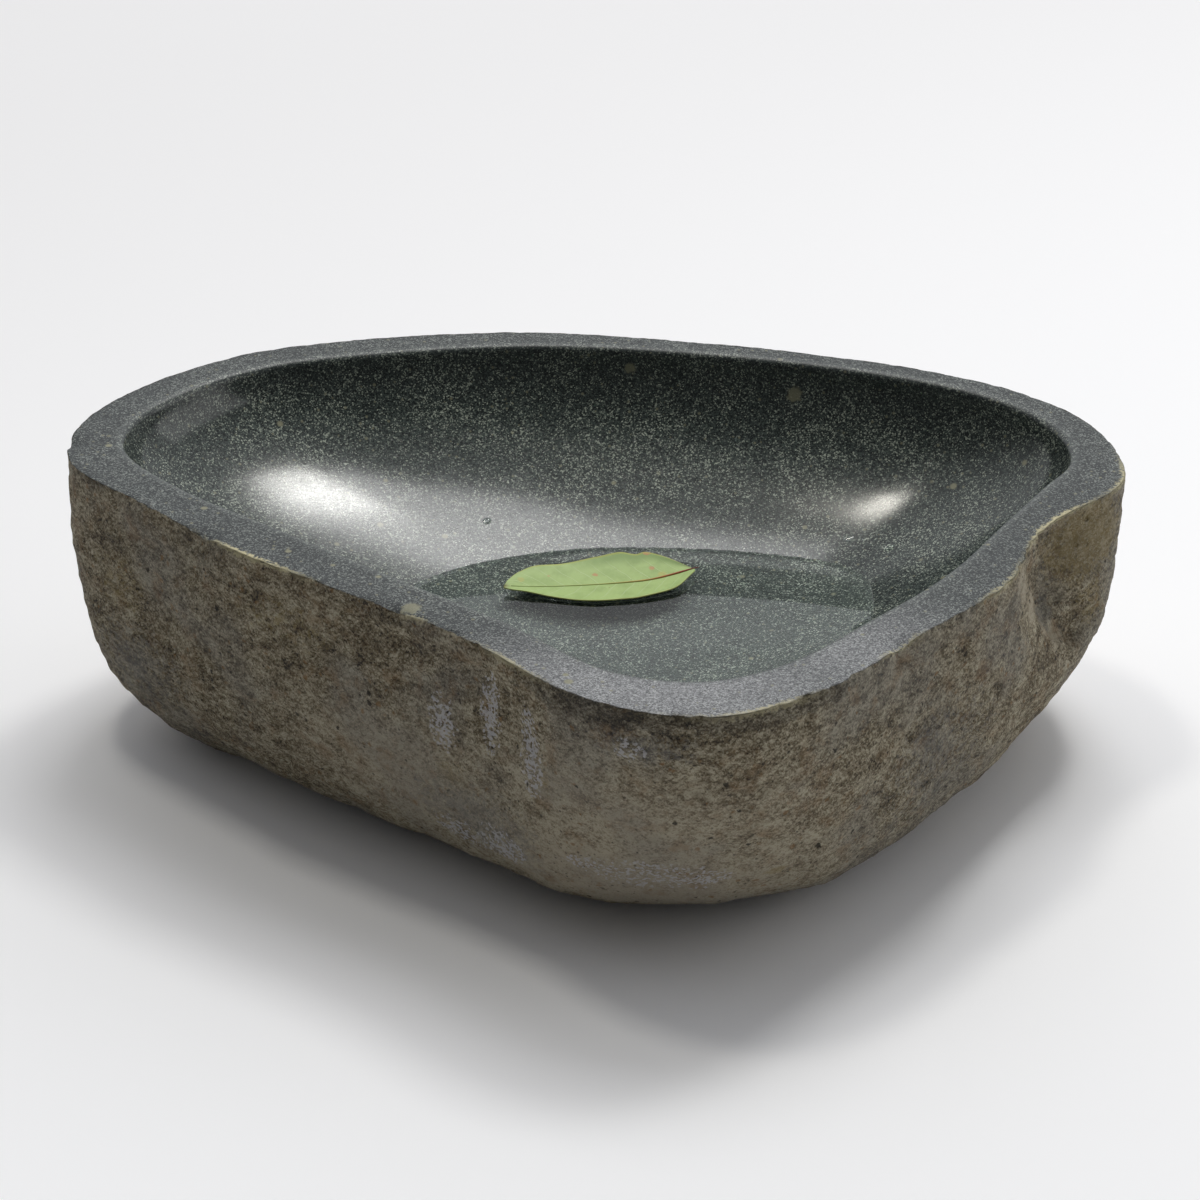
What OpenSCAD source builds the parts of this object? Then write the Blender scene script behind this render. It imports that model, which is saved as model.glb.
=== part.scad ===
/* [Stone] */
// Length of the stone from its left corner to its right corner
stone_length = 430; // [380:5:480]
// Width of the stone from its front corner to its back
stone_width = 337; // [300:1:380]
// Height of the stone at the left end of its rim, where it is tallest
stone_height = 125; // [110:1:150]
// How much lower the sawn rim lies at its right end than at its left end
rim_fall = 8; // [0:1:14]
// Length of the flat patch that the stone rests on
foot_length = 250; // [200:5:280]
// Width of the flat patch that the stone rests on
foot_width = 160; // [120:5:190]
// Depth of the broken scoop in the right front flank
scoop_depth = 17; // [0:1:20]
// Reach of that scoop from its middle
scoop_reach = 62; // [40:2:80]
// Height of the low waves in the natural crust
crust_wave = 1.2; // [0:0.1:2]

/* [Hollow] */
// Width of the flat rim at its thinnest, along the back
rim_wall = 12; // [9:0.5:16]
// Thickness of stone left under the middle of the hollow
floor_thickness = 38; // [28:1:50]
// Rounding where the flat rim turns down into the hollow
edge_round = 3; // [1:0.5:5]

/* [Water] */
// Depth of the water in the middle of the pool
water_depth = 22; // [14:1:34]
// Room between the water and the polished stone
water_gap = 0.5; // [0.4:0.1:1]

/* [Leaf] */
// Length of the leaf blade from its tip to its stalk
leaf_length = 81; // [60:1:90]
// Width of the leaf blade at its widest
leaf_width = 34; // [26:1:40]
// Thickness of the leaf blade
leaf_thickness = 0.6; // [0.4:0.1:1]
// How far the leaf's two ends rise above its middle
leaf_bow = 2.4; // [1:0.2:4]
// How far the leaf's long edges rise above its midrib
leaf_cup = 1.8; // [1:0.2:4]
// How much higher the leaf's back edge lies than its front edge
leaf_lean = 1.4; // [0:0.2:3]
// Thickness of the midrib where it leaves the blade
midrib_thickness = 1.6; // [1:0.1:2.4]
// Thickness of the midrib near the leaf's tip
midrib_end_thickness = 0.6; // [0.4:0.1:1]
// Length of bare stalk past the end of the blade
stalk_length = 2; // [1:0.5:6]
// Room between the leaf and the water that it floats on
float_gap = 0.3; // [0.3:0.1:0.6]
// Direction from the leaf's tip to its stalk
leaf_heading = 11; // [0:1:20]
// Direction from the middle of the pool to the leaf
leaf_bearing = 111; // [90:1:120]
// Room between the leaf's side and the nearest shore as it drifts round
shore_gap = 12; // [8:1:20]

/* [Hidden] */

// Number of columns around the stone and the pool
columns = 88;
// Rings on the outside, down the dry wall of the hollow and under the water
flank_rings = 20;
wall_rings = 9;
pool_rings = 7;
// How much closer the outside's rings lie near the rim than near the foot (1 is evenly spaced)
flank_crowding = 1.5;
// Steps of the rounding at the hollow's edge
round_steps = 3;
// How flat the floor of the hollow is (1 is a cone, more is flatter)
hollow_floor_power = 1.8;
// Steps along and across the leaf blade, and steps and sides of its midrib
blade_steps = 20;
blade_strips = 6;
midrib_steps = 16;
midrib_sides = 8;
// Where the blade is widest (1 is its middle, more is nearer the stalk) and how blunt its ends are
leaf_widest_power = 1.3;
leaf_end_power = 0.55;
// Share of the blade's length, from its tip, where the midrib starts to stand out
midrib_start = 0.06;

// The stone round its rim, counterclockwise from the right corner. Each row has the
// place of the rim's outer edge, the rim width over its thinnest, how full the flank
// is below it (2 is round, more is squarer) and how full the hollow is inside it
STATIONS = [
    [215, 50, 9, 3.1, 1.35],
    [203, 88, 4, 3.0, 1.45],
    [170, 120, 1, 2.7, 1.75],
    [120, 142, 0, 2.6, 1.7],
    [54, 158, 0, 2.6, 1.6],
    [-25, 168, 3, 2.6, 1.5],
    [-100, 158, 5, 2.6, 1.4],
    [-155, 138, 5, 2.7, 1.3],
    [-196, 100, 6, 2.8, 1.3],
    [-215, 62, 9, 3.2, 1.35],
    [-213, 26, 13, 3.6, 1.4],
    [-180, -8, 9, 3.2, 1.5],
    [-142, -45, 14, 2.9, 1.6],
    [-97, -78, 11, 2.9, 1.6],
    [-48, -114, 9, 2.9, 1.6],
    [-8, -154, 12, 2.4, 1.6],
    [38, -168, 16, 2.1, 1.6],
    [80, -148, 13, 2.6, 1.6],
    [116, -108, 10, 3.6, 1.6],
    [150, -72, 12, 3.3, 1.5],
    [184, -32, 20, 2.7, 1.45],
    [210, 12, 20, 2.5, 1.45]
];

// Row of a closed list, counted on past either end
function row(list, i) = list[(i % len(list) + len(list)) % len(list)];

// Smooth blend from b to c, with a and d as their outer neighbours
function blend(a, b, c, d, t) = 0.5 * (2 * b + (c - a) * t
    + (2 * a - 5 * b + 4 * c - d) * t * t + (3 * b - a - 3 * c + d) * t * t * t);

// Smooth closed curve through a list, where one turn runs from 0 to 1
function along(list, turn) = let (s = turn * len(list), i = floor(s))
    blend(row(list, i - 1), row(list, i), row(list, i + 1), row(list, i + 2), s - i);

// The stations at every column, fitted to the stone's length and width
raw = [for (i = [0 : columns - 1]) along(STATIONS, i / columns)];
raw_x = [for (r = raw) r[0]];
raw_y = [for (r = raw) r[1]];
fit_x = stone_length / (max(raw_x) - min(raw_x));
fit_y = stone_width / (max(raw_y) - min(raw_y));
rim = [for (r = raw) [
    (r[0] - (max(raw_x) + min(raw_x)) / 2) * fit_x,
    (r[1] - (max(raw_y) + min(raw_y)) / 2) * fit_y
]];

// Deepest place of the hollow, nearer to its steep front than to its back
hollow_middle = [12 * fit_x, -22 * fit_y];

// Middle of the pool, about which the leaf drifts
drift_axis = [18 * fit_x, 3 * fit_y];

// Direction straight in from the rim's outer edge at a column
function inward(i) = let (d = row(rim, i + 1) - row(rim, i - 1)) [-d[1], d[0]] / norm(d);

// Height of the sawn rim over a place
function rim_z(p) = stone_height - rim_fall * (p[0] / stone_length + 0.5);

// Edge of the hollow before it is rounded
hollow = [for (i = [0 : columns - 1]) rim[i] + inward(i) * (rim_wall + raw[i][2] * fit_x)];

// How strongly a round hollow with a middle and a reach bites at a place, from 0 to 1
function bite(p, middle, reach) = let (q = norm(p - middle) / reach) q < 1 ? pow(1 - q * q, 2) : 0;

// Middle of the broken scoop, on the right front flank just under the rim
scoop_drop = 18;
scoop_middle = [191 * fit_x, -22 * fit_y, stone_height - scoop_drop];

// Low waves of the crust, none at the rim and none at the foot
function wave(p, share) = crust_wave * 4 * share * (1 - share)
    * (sin(2.6 * p[0] + 40) + sin(3.4 * p[1] - 1.9 * p[2]) + sin(1.7 * (p[0] + p[1]) + 4.1 * p[2])) / 2;

// Point on the outside: share runs from 0 at the rim to 1 at the foot
function flank(i, share) =
    let (
        power = 2 / raw[i][3],
        down = pow(sin(90 * share), power),
        out = share == 1 ? 0 : pow(cos(90 * share), power),
        foot = [rim[i][0] * foot_length / stone_length, rim[i][1] * foot_width / stone_width],
        place = foot + (rim[i] - foot) * out,
        z = rim_z(rim[i]) * (1 - down),
        p = [place[0], place[1], z],
        push = scoop_depth * bite(p, scoop_middle, scoop_reach) + wave(p, share),
        moved = place + inward(i) * push
    )
    share == 0 ? [moved[0], moved[1], rim_z(moved)] : [moved[0], moved[1], z];

// Level of the water and of the ring where it meets the stone
water_level = floor_thickness + water_depth;
shore_level = water_level - water_gap;

// How far out the hollow's wall stands at a depth, from 1 at the rim to 0 at the floor
function spread(depth, fullness) = pow(max(0, 1 - pow(depth, hollow_floor_power)), 1 / fullness);

// Point on the hollow's wall at a height
function wall_point(i, z) =
    let (
        top = rim_z(hollow[i]) - edge_round,
        reach = spread((top - z) / (top - floor_thickness), raw[i][4]),
        place = hollow_middle + (hollow[i] - hollow_middle) * reach
    )
    [place[0], place[1], z];

// Point on the dry wall: share runs from 0 under the rounded edge to 1 at the shore
function dry_wall(i, share) = wall_point(i, let (top = rim_z(hollow[i]) - edge_round)
    top + (shore_level - top) * share);

// Point on the rounded edge: share runs from 0 on the flat rim to 1 on the wall
function edge(i, share) =
    let (p = hollow[i] - inward(i) * edge_round * (1 - sin(90 * share)))
    [p[0], p[1], rim_z(p) - edge_round * (1 - cos(90 * share))];

// Ring of the wall under the water: share runs from 0 at the shore to 1 at the floor
function wet_level(share) = floor_thickness + (shore_level - floor_thickness) * pow(1 - share, 2);

// Closed solid from a stack of rings, with a point that closes each end
module stack(rings, count, first, last) {
    top = len(rings) - 1;
    points = concat([first], [for (ring = rings) for (p = ring) p], [last]);
    function at(r, i) = 1 + r * count + i % count;
    faces = concat(
        [for (i = [0 : count - 1]) [0, at(0, i), at(0, i + 1)]],
        [for (r = [0 : top - 1]) for (i = [0 : count - 1]) each [
            [at(r, i), at(r + 1, i + 1), at(r, i + 1)],
            [at(r, i), at(r + 1, i), at(r + 1, i + 1)]
        ]],
        [for (i = [0 : count - 1]) [at(top, i), len(points) - 1, at(top, i + 1)]]
    );
    polyhedron(points, faces, convexity = 6);
}

shore = [for (i = [0 : columns - 1]) wall_point(i, shore_level)];
wet_rings = [for (r = [1 : pool_rings - 1]) [for (i = [0 : columns - 1])
    wall_point(i, wet_level(r / pool_rings))]];
floor_middle = [hollow_middle[0], hollow_middle[1], floor_thickness];

// Middle of the leaf, as far out as the room in the pool lets it turn
pool_room = min([for (p = shore) norm([p[0], p[1]] - drift_axis)]);
leaf_reach = pool_room - shore_gap - leaf_width / 2;
leaf_middle = drift_axis + leaf_reach * [cos(leaf_bearing), sin(leaf_bearing)];

// Half the blade's width: t runs from 0 at the tip to 1 at the stalk
function half_blade(t) = max(midrib_end_thickness / 2,
    leaf_width / 2 * pow(max(0, sin(180 * pow(t, leaf_widest_power))), leaf_end_power));

// Underside of the blade: side runs from -1 on the front edge to 1 on the back edge
function blade_point(t, side) = [
    (t - 0.5) * leaf_length,
    side * half_blade(t),
    leaf_bow * pow(2 * t - 1, 2) + (leaf_cup * side * side + leaf_lean * side / 2) * half_blade(t) / leaf_width * 2
];

// Puts the leaf where it floats
module afloat() {
    translate([leaf_middle[0], leaf_middle[1], water_level + float_gap]) rotate([0, 0, leaf_heading]) children();
}

module stone_bowl() {
    outside = [for (r = [flank_rings : -1 : 0]) [for (i = [0 : columns - 1])
        flank(i, pow(r / flank_rings, flank_crowding))]];
    rounding = [for (r = [0 : round_steps - 1]) [for (i = [0 : columns - 1]) edge(i, r / round_steps)]];
    dry = [for (r = [0 : wall_rings]) [for (i = [0 : columns - 1]) dry_wall(i, r / wall_rings)]];
    color("dimgray") stack(concat(outside, rounding, dry, wet_rings), columns, [0, 0, 0], floor_middle);
}

module water_pool() {
    lift = [0, 0, water_gap];
    rings = concat([for (r = [pool_rings - 2 : -1 : 0]) wet_rings[r]], [shore]);
    color("lightsteelblue", 0.4)
        stack([for (ring = rings) [for (p = ring) p + lift]], columns, floor_middle + lift,
            [hollow_middle[0], hollow_middle[1], water_level]);
}

module leaf_blade() {
    // Each ring runs along the underside from front to back and home along the top
    sides = [for (k = [0 : blade_strips]) 2 * k / blade_strips - 1];
    half = [0, 0, leaf_thickness / 2];
    rings = [for (i = [0 : blade_steps]) let (t = i / blade_steps) concat(
        [for (side = sides) blade_point(t, side)],
        [for (k = [blade_strips : -1 : 0]) blade_point(t, sides[k]) + 2 * half]
    )];
    color("yellowgreen") afloat()
        stack(rings, 2 * (blade_strips + 1), blade_point(0, 0) + half, blade_point(1, 0) + half);
}

module leaf_midrib() {
    reach = 1 + stalk_length / leaf_length;
    rings = [for (i = [0 : midrib_steps])
        let (
            t = midrib_start + (reach - midrib_start) * i / midrib_steps,
            r = (midrib_end_thickness + (midrib_thickness - midrib_end_thickness) * t) / 2,
            middle = [(t - 0.5) * leaf_length, 0, leaf_bow * pow(2 * t - 1, 2) + leaf_thickness + r / 2]
        )
        [for (k = [0 : midrib_sides - 1]) let (a = 360 * k / midrib_sides)
            middle + r * [0, cos(a), sin(a)]]
    ];
    ends = [for (ring = [rings[0], rings[midrib_steps]]) (ring[0] + ring[midrib_sides / 2]) / 2];
    color("darkorange") afloat()
        stack(rings, midrib_sides, ends[0], ends[1]);
}

stone_bowl();
water_pool();
leaf_blade();
leaf_midrib();
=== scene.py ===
"""River stone bowl: a hollowed stone with a sawn rim, a pool of water and a floating leaf."""

import logging
import math
from collections.abc import Callable
from dataclasses import dataclass
from enum import Enum

import bmesh
import bpy
from mathutils import Matrix, Vector, kdtree, noise


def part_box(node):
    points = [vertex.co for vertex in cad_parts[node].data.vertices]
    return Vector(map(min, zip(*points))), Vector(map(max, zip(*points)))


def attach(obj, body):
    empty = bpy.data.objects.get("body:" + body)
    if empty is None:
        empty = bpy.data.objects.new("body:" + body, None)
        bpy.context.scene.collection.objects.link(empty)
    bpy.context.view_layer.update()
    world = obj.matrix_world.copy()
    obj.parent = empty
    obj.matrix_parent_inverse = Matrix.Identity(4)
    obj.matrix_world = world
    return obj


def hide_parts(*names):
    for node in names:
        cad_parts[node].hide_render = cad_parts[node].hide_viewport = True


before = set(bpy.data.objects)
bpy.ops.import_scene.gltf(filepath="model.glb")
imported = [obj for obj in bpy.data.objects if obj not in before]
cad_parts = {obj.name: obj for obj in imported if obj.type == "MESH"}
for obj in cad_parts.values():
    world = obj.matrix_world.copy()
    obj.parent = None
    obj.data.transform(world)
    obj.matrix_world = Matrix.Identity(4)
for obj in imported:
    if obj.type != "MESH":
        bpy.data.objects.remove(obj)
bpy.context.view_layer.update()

logging.basicConfig(level=logging.INFO, format="%(message)s")
log = logging.getLogger("river_stone_bowl")

# Shapes are in metres
MM = 0.001
TOUCHING = 0.01 * MM
# Depth under water, in millimetres, that is noted where no water reaches
DRY = -9.0

Colour = tuple[float, float, float, float]
Point = tuple[float, float, float]
Ramp = tuple[tuple[float, Colour], ...]
Spots = tuple[tuple[Point, float], ...]
Marks = tuple[tuple[float, float, float], ...]
Outline = tuple[tuple[float, float], ...]


def tone(red: float, green: float, blue: float) -> Colour:
    """Turns a screen colour into the linear colour that a shader takes.

    Args:
        red: Red from 0 to 255.
        green: Green from 0 to 255.
        blue: Blue from 0 to 255.

    Returns:
        The linear colour with an alpha of 1.
    """

    def linear(level: float) -> float:
        """Linear share of one screen level."""
        share = level / 255
        return share / 12.92 if share <= 0.04045 else ((share + 0.055) / 1.055) ** 2.4

    return linear(red), linear(green), linear(blue), 1.0


def ease(low: float, high: float, value: float) -> float:
    """Smooth rise from 0 at low to 1 at high.

    Args:
        low: Where the rise starts.
        high: Where it ends; lower than low for a fall.
        value: Where it is read.

    Returns:
        A share from 0 to 1.
    """
    share = min(1.0, max(0.0, (value - low) / (high - low)))
    return share * share * (3 - 2 * share)


def curve_through(stations: Outline, place: float) -> float:
    """Reads a smooth curve through a few stations.

    Args:
        stations: Pairs of place and value, in rising order of place.
        place: Where the curve is read.

    Returns:
        The value there.
    """
    last = len(stations) - 1
    k = max(0, min(last - 1, sum(1 for s in stations if s[0] <= place) - 1))
    a, b, c, d = (stations[max(0, min(last, k + step))] for step in (-1, 0, 1, 2))
    t = (place - b[0]) / (c[0] - b[0])
    rise_b = (c[1] - a[1]) / (c[0] - a[0]) * (c[0] - b[0])
    rise_c = (d[1] - b[1]) / (d[0] - b[0]) * (c[0] - b[0])
    return (
        b[1] * (1 + 2 * t) * (1 - t) ** 2
        + rise_b * t * (1 - t) ** 2
        + c[1] * (3 - 2 * t) * t * t
        + rise_c * t * t * (t - 1)
    )


class Value:
    """A socket of a material, with the operators of plain maths."""

    def __init__(self, tree: "Tree", socket: bpy.types.NodeSocket) -> None:
        """Keeps the tree that new nodes go into, and the socket."""
        self.tree = tree
        self.socket = socket

    def _maths(self, operation: str, first: object, second: object) -> "Value":
        """A Math node on two sockets or numbers."""
        return self.tree.node("ShaderNodeMath", {"operation": operation}, {0: first, 1: second})

    def __add__(self, other: object) -> "Value":
        """Sum."""
        return self._maths("ADD", self, other)

    __radd__ = __add__

    def __sub__(self, other: object) -> "Value":
        """Difference."""
        return self._maths("SUBTRACT", self, other)

    def __rsub__(self, other: object) -> "Value":
        """Difference from a number."""
        return self._maths("SUBTRACT", other, self)

    def __mul__(self, other: object) -> "Value":
        """Product."""
        return self._maths("MULTIPLY", self, other)

    __rmul__ = __mul__

    def __abs__(self) -> "Value":
        """Size without its sign."""
        return self._maths("ABSOLUTE", self, 0.0)

    def most(self, other: object) -> "Value":
        """The larger of two."""
        return self._maths("MAXIMUM", self, other)

    def wrapped(self) -> "Value":
        """What is left over the whole number below."""
        return self._maths("FRACT", self, 0.0)

    def rise(self, low: float, high: float) -> "Value":
        """Smooth rise from 0 at low to 1 at high, or a fall where high is lower.

        Args:
            low: Where the change starts.
            high: Where it ends.

        Returns:
            A share from 0 to 1.
        """
        ends = (low, high, 0.0, 1.0) if high > low else (high, low, 1.0, 0.0)
        values = dict(zip(("From Min", "From Max", "To Min", "To Max"), ends))
        values["Value"] = self
        return self.tree.node("ShaderNodeMapRange", {"interpolation_type": "SMOOTHSTEP"}, values)


class Tree:
    """The nodes of a material or of the world, written as values."""

    def __init__(self, owner: bpy.types.Material | bpy.types.World) -> None:
        """Starts an empty tree.

        Args:
            owner: The material or world that holds the nodes.
        """
        owner.use_nodes = True
        self.owner = owner
        self.nodes = owner.node_tree.nodes
        self.links = owner.node_tree.links
        self.nodes.clear()

    def node(
        self,
        kind: str,
        settings: dict[str, object] | None = None,
        values: dict[object, object] | None = None,
        output: int | str = 0,
    ) -> Value:
        """Adds any node.

        Args:
            kind: The node's type.
            settings: Its own settings, set first; "stops" holds a ramp's places and colours.
            values: What goes into its sockets, by name or number: a number, a colour or a Value.
            output: The socket that is read.

        Returns:
            The output socket as a Value.
        """
        made = self.nodes.new(kind)
        for key, setting in (settings or {}).items():
            if key == "stops":
                elements = made.color_ramp.elements
                while len(elements) < len(setting):
                    elements.new(1.0)
                for element, (place, colour) in zip(elements, setting):
                    element.position = place
                    element.color = colour
            else:
                setattr(made, key, setting)
        for key, value in (values or {}).items():
            if isinstance(value, Value):
                self.links.new(value.socket, made.inputs[key])
            else:
                made.inputs[key].default_value = value
        return Value(self, made.outputs[output])

    def vector(self, operation: str, *operands: object, output: int | str = 0) -> Value:
        """A Vector Math node on places or directions."""
        return self.node("ShaderNodeVectorMath", {"operation": operation}, dict(enumerate(operands)), output)

    def millimetres(self, stretch: Point = (1.0, 1.0, 1.0), turn: float = 0.0) -> Value:
        """Place on the object in millimetres.

        Args:
            stretch: How far a pattern is drawn out along each axis.
            turn: Angle about Z that the pattern is turned by.

        Returns:
            The place.
        """
        place = self.node("ShaderNodeTexCoord", output="Object")
        scale = tuple(MM * share for share in stretch)
        values = {"Vector": place, "Rotation": (0.0, 0.0, turn), "Scale": scale}
        return self.node("ShaderNodeMapping", {"vector_type": "TEXTURE"}, values)

    def attribute(self, name: str) -> Value:
        """A number that the mesh holds at its points."""
        return self.node("ShaderNodeAttribute", {"attribute_name": name}, output="Fac")

    def cloud(self, place: Value, size: float, detail: float = 3.0, rough: float = 0.5) -> Value:
        """Cloudy noise from 0 to 1 with lumps of a size in millimetres."""
        values = {"Vector": place, "Scale": 1 / size, "Detail": detail, "Roughness": rough}
        return self.node("ShaderNodeTexNoise", {}, values)

    def cells(self, place: Value, size: float) -> Value:
        """Random number from 0 to 1 for each grain of a size in millimetres."""
        cell = self.node("ShaderNodeTexVoronoi", {}, {"Vector": place, "Scale": 1 / size}, "Color")
        return self.node("ShaderNodeSeparateColor", {}, {0: cell}, 0)

    def grains(self, place: Value, size: float, share: float, radius: float) -> Value:
        """Mask of scattered grains.

        Args:
            place: Where it is read, in millimetres.
            size: Distance from grain to grain.
            share: Share of the places that hold a grain.
            radius: A grain's radius as a share of size.

        Returns:
            1 on a grain and 0 between grains.
        """
        cell = self.node("ShaderNodeTexVoronoi", {}, {"Vector": place, "Scale": 1 / size}, "Color")
        distance = Value(self, cell.socket.node.outputs["Distance"])
        parts = self.node("ShaderNodeSeparateColor", {}, {0: cell}, 0)
        chosen = parts.rise(1 - share, 1 - share + 0.02)
        reach = Value(self, parts.socket.node.outputs[1]) * radius * 0.7 + radius * 0.5
        return chosen * (reach - distance).rise(0.0, radius * 0.5)

    def spot(self, place: Value, centre: Point, radius: float, torn: Value) -> Value:
        """Mask of one spot.

        Args:
            place: Where it is read, in millimetres.
            centre: The spot's middle.
            radius: The spot's radius.
            torn: A noise from 0 to 1 that tears the spot's edge.

        Returns:
            1 in the spot and 0 round it.
        """
        gap = self.vector("DISTANCE", place, centre, output="Value")
        return (gap + (torn - 0.5) * radius * 1.4).rise(radius, radius * 0.6)

    def mix(self, factor: object, first: object, second: object) -> Value:
        """Colour between two colours."""
        return self.node("ShaderNodeMix", {"data_type": "RGBA"}, {0: factor, 6: first, 7: second}, 2)

    def ramp(self, factor: Value, stops: Ramp) -> Value:
        """Colour from a ramp."""
        return self.node("ShaderNodeValToRGB", {"stops": stops}, {0: factor})

    def bump(self, height: Value, distance: float, strength: float = 1.0) -> Value:
        """Normals of a surface with a height, in which 1 is a distance in metres."""
        values = {"Strength": strength, "Distance": distance, "Height": height}
        return self.node("ShaderNodeBump", {}, values)

    def surface(self, values: dict[object, object]) -> Value:
        """A Principled shader with the values of its sockets."""
        return self.node("ShaderNodeBsdfPrincipled", {}, values)

    def finish(
        self, shader: Value, kind: str = "ShaderNodeOutputMaterial"
    ) -> bpy.types.Material | bpy.types.World:
        """Joins a shader to the output.

        Args:
            shader: The shader.
            kind: The output node's type.

        Returns:
            The material or world that holds the nodes.
        """
        output = self.nodes.new(kind)
        self.links.new(shader.socket, output.inputs["Surface"])
        return self.owner


class Stain(Enum):
    """What lies on the crust in places, and painted light and shade, each kept as an attribute of the mesh.
    """

    PALE = "pale"
    OCHRE = "ochre"
    # Dark stone in places, and painted shade under the rim's front edge and beside the scoop's ridge.
    DARK = "dark"
    SLATE = "slate"
    CREAM = "cream"
    # Paler tan stone, and painted light: bounce light low on the front and light along the scoop's ridge.
    TAN = "tan"
    # Dust on the rim's front, and painted sheen where the rim faces the lamps.
    DUST_AND_SHEEN = "dust"


@dataclass(frozen=True)
class Patch:
    """A soft patch of one stain, or of painted light or shade, on the crust, in millimetres."""

    stain: Stain
    place: Point
    reach: Point
    strength: float = 1.0

    def weight(self, place: Vector) -> float:
        """How strong the patch is at a place in metres."""
        away = sum(((place[k] / MM - self.place[k]) / self.reach[k]) ** 2 for k in range(3))
        return self.strength * ease(1.0, 0.0, math.sqrt(away))


@dataclass(frozen=True)
class Chip:
    """A flake broken out of the crust or of the rim's outer edge, in millimetres."""

    place: Point
    reach: float
    depth: float
    downward: float = 0.6
    grain: float = 4

    def dent(self, place: Vector, normal: Vector) -> Vector:
        """How far a point of the surface moves.

        Args:
            place: The point, in metres.
            normal: The surface's normal there.

        Returns:
            The shift, in metres.
        """
        gap = (place - Vector(self.place) * MM).length / (self.reach * MM)
        if gap >= 1:
            return Vector((0.0, 0.0, 0.0))
        uneven = 0.7 + 0.6 * noise.noise(place / (self.grain * MM))
        inward = -(normal + Vector((0, 0, self.downward)))
        return inward * self.depth * MM * uneven * (1 - gap * gap) ** 2


@dataclass(frozen=True)
class Hollow:
    """A shell-shaped break in the flank with a sharp ridge round it.

    Lengths are in millimetres; ridge and bowl are shares of the reach.
    """

    place: Point = (205, 0, 100)
    reach: float = 43
    depth: float = 4.6
    ridge: tuple[float, float] = (1.0, 0.9)
    bowl: tuple[float, float] = (0.1, 0.8)
    fade: tuple[float, float] = (8, -12)
    fade_way: Point = (0.5, 0.85, 0.0)
    waves: tuple[tuple[float, float], ...] = ((0.08, 9), (0.03, 2.5))

    def sink(self, place: Vector) -> float:
        """How deep the break is.

        Args:
            place: Where it is read, in metres.

        Returns:
            The depth, in metres.
        """
        gap = place / MM - Vector(self.place)
        away = gap.length / self.reach
        away += sum(share * noise.noise(place / (size * MM)) for share, size in self.waves)
        beyond = gap @ Vector(self.fade_way)
        return self.depth * MM * ease(*self.ridge, away) * ease(*self.bowl, away) * ease(*self.fade, beyond)


@dataclass(frozen=True)
class StainLook:
    """How one stain shows on the crust, and how much ground shows through it."""

    stain: Stain
    tint: Colour
    strength: float
    edge: float
    speckle: float = 0.5
    ground_least: float = 0.1
    ground_more: float = 0.6


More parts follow.
